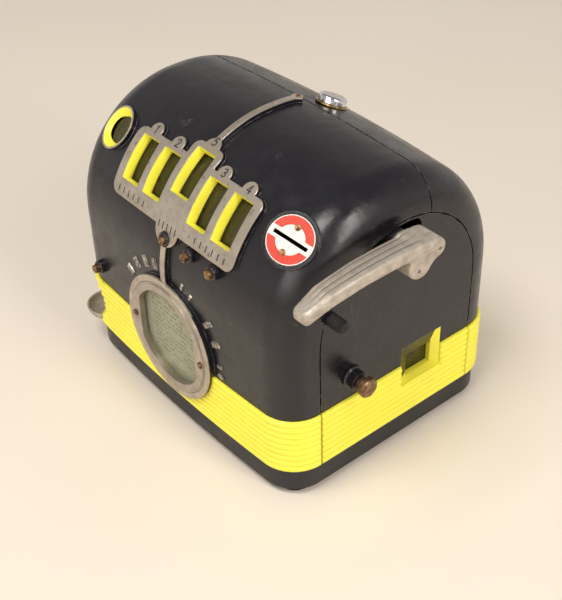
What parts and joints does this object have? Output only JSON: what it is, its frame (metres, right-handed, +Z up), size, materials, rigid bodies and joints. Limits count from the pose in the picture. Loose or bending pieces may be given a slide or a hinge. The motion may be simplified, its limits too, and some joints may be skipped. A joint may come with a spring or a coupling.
{
  "type": "countertop reel game machine",
  "caption": "Arched countertop coin machine with a row of reel windows, a side lever, push buttons, a card ring and a gum window.",
  "frame": {"origin": "on the counter, under the middle of the casing", "axes": "+X to the player's right (the lever side), +Y to the back, +Z up"},
  "size_m": [0.2979, 0.2138, 0.2331],
  "materials": {
    "blue_black_enamel": "gloss",
    "black_plinth_paint": "satin",
    "black_rubber": "matt",
    "cast_aluminium": "polished",
    "aluminium_pins": "brushed",
    "steel_plate": "zinc plated",
    "bright_steel": "turned",
    "aged_brass": "tarnished",
    "chromed_cap": "polished",
    "black_bakelite": "satin",
    "clear_glass": "clear",
    "smoked_glass": "tinted",
    "printed_card": "aged paper card",
    "white_enamel": "gloss",
    "reel_strip": "aged paper on tin",
    "tin_plate": "dull tin plate",
    "worn_nickel": "worn coin metal"
  },
  "bodies": {
    "casing": {"front_shell": "blue_black_enamel", "rear_shell": "blue_black_enamel", "right_cover": "blue_black_enamel", "left_cover": "blue_black_enamel", "plinth": "black_plinth_paint", "feet": "black_rubber", "foot_screws": "steel_plate", "card_bezel": "cast_aluminium", "bezel_screws": "aged_brass", "card_glass": "clear_glass", "rule_card": "printed_card", "reel_window_glass": "smoked_glass", "gum_window_glass": "smoked_glass", "coin_entry_disc": "white_enamel", "coin_disc_screws": "aged_brass", "trim_rivet": "aged_brass", "lock_flange": "aged_brass", "button_bushes": "black_bakelite", "plunger_bush": "black_bakelite", "stop_stud": "black_rubber", "lever_spring": "bright_steel", "left_frame_plate": "steel_plate", "right_frame_plate": "steel_plate", "tie_rods": "steel_plate", "reel_shaft": "bright_steel", "shaft_collars": "bright_steel", "brake_rod": "bright_steel", "coin_chute": "tin_plate", "coin_window_glass": "smoked_glass", "last_coin": "worn_nickel", "cash_box": "tin_plate", "gum_hopper": "tin_plate", "gum_chute": "steel_plate", "gum_spout": "cast_aluminium"},
    "lever": {"handle": "cast_aluminium", "handle_pins": "aluminium_pins", "lever_plate": "steel_plate"},
    "reel_one": {"reel_1": "reel_strip"},
    "reel_two": {"reel_2": "reel_strip"},
    "reel_three": {"reel_3": "reel_strip"},
    "reel_four": {"reel_4": "reel_strip"},
    "reel_five": {"reel_5": "reel_strip"},
    "house_push": {"house_button": "aged_brass"},
    "inner_draw_push": {"inner_draw_button": "aged_brass"},
    "outer_draw_push": {"outer_draw_button": "aged_brass"},
    "gum_push": {"gum_button": "aged_brass"},
    "coin_push": {"coin_plunger": "aged_brass"},
    "house_brake_arm": {"house_brake": "aged_brass"},
    "inner_draw_brake_arm": {"inner_draw_brake": "aged_brass"},
    "outer_draw_brake_arm": {"outer_draw_brake": "aged_brass"},
    "gum_slide": {"gum_gate": "steel_plate"},
    "lock": {"lock_cap": "chromed_cap", "lock_cam": "steel_plate"}
  },
  "joints": [
    {"name": "lever_pull", "type": "hinge", "parent": "casing", "child": "lever", "pos_m": [0, 0.0005, 0.126], "axis": [1, 0, 0], "range_deg": [0, 38], "stiffness_Nm_per_rad": 1.2, "springref_deg": -20.05, "deforming": ["lever_spring"]},
    {"name": "reel_one_spin", "type": "hinge", "parent": "casing", "child": "reel_one", "pos_m": [0, 0.0005, 0.126], "axis": [1, 0, 0], "continuous": true},
    {"name": "reel_two_spin", "type": "hinge", "parent": "casing", "child": "reel_two", "pos_m": [0, 0.0005, 0.126], "axis": [1, 0, 0], "continuous": true},
    {"name": "reel_three_spin", "type": "hinge", "parent": "casing", "child": "reel_three", "pos_m": [0, 0.0005, 0.126], "axis": [1, 0, 0], "continuous": true},
    {"name": "reel_four_spin", "type": "hinge", "parent": "casing", "child": "reel_four", "pos_m": [0, 0.0005, 0.126], "axis": [1, 0, 0], "continuous": true},
    {"name": "reel_five_spin", "type": "hinge", "parent": "casing", "child": "reel_five", "pos_m": [0, 0.0005, 0.126], "axis": [1, 0, 0], "continuous": true},
    {"name": "house_push_in", "type": "slide", "parent": "casing", "child": "house_push", "axis": [0, 1, 0], "range_m": [0, 0.004], "stiffness_N_per_m": 400, "springref_m": -0.002},
    {"name": "inner_draw_push_in", "type": "slide", "parent": "casing", "child": "inner_draw_push", "axis": [0, 1, 0], "range_m": [0, 0.004], "stiffness_N_per_m": 400, "springref_m": -0.002},
    {"name": "outer_draw_push_in", "type": "slide", "parent": "casing", "child": "outer_draw_push", "axis": [0, 1, 0], "range_m": [0, 0.004], "stiffness_N_per_m": 400, "springref_m": -0.002},
    {"name": "gum_push_in", "type": "slide", "parent": "casing", "child": "gum_push", "axis": [0, 1, 0], "range_m": [0, 0.004], "stiffness_N_per_m": 400, "springref_m": -0.002},
    {"name": "coin_push_in", "type": "slide", "parent": "casing", "child": "coin_push", "axis": [-1, 0, 0], "range_m": [0, 0.003], "stiffness_N_per_m": 300, "springref_m": -0.003},
    {"name": "house_brake_arm_swing", "type": "hinge", "parent": "casing", "child": "house_brake_arm", "pos_m": [0, -0.094, 0.139], "axis": [-1, 0, 0], "range_deg": [0, 10.8]},
    {"name": "inner_draw_brake_arm_swing", "type": "hinge", "parent": "casing", "child": "inner_draw_brake_arm", "pos_m": [0, -0.094, 0.139], "axis": [-1, 0, 0], "range_deg": [0, 10.8]},
    {"name": "outer_draw_brake_arm_swing", "type": "hinge", "parent": "casing", "child": "outer_draw_brake_arm", "pos_m": [0, -0.094, 0.139], "axis": [-1, 0, 0], "range_deg": [0, 10.8]},
    {"name": "gum_slide_in", "type": "slide", "parent": "casing", "child": "gum_slide", "axis": [0, 1, 0], "range_m": [0, 0.0202]},
    {"name": "lock_turn", "type": "hinge", "parent": "casing", "child": "lock", "pos_m": [0.009, 0.043, 0.21982], "axis": [0, 0.4241, 0.9056], "range_deg": [0, 90]}
  ],
  "couplings": [
    {"joint": "house_brake_arm_swing", "follows": "house_push_in", "rad_per_m": 46.251},
    {"joint": "inner_draw_brake_arm_swing", "follows": "inner_draw_push_in", "rad_per_m": 46.251},
    {"joint": "outer_draw_brake_arm_swing", "follows": "outer_draw_push_in", "rad_per_m": 46.251},
    {"joint": "gum_slide_in", "follows": "gum_push_in", "ratio": 5}
  ]
}
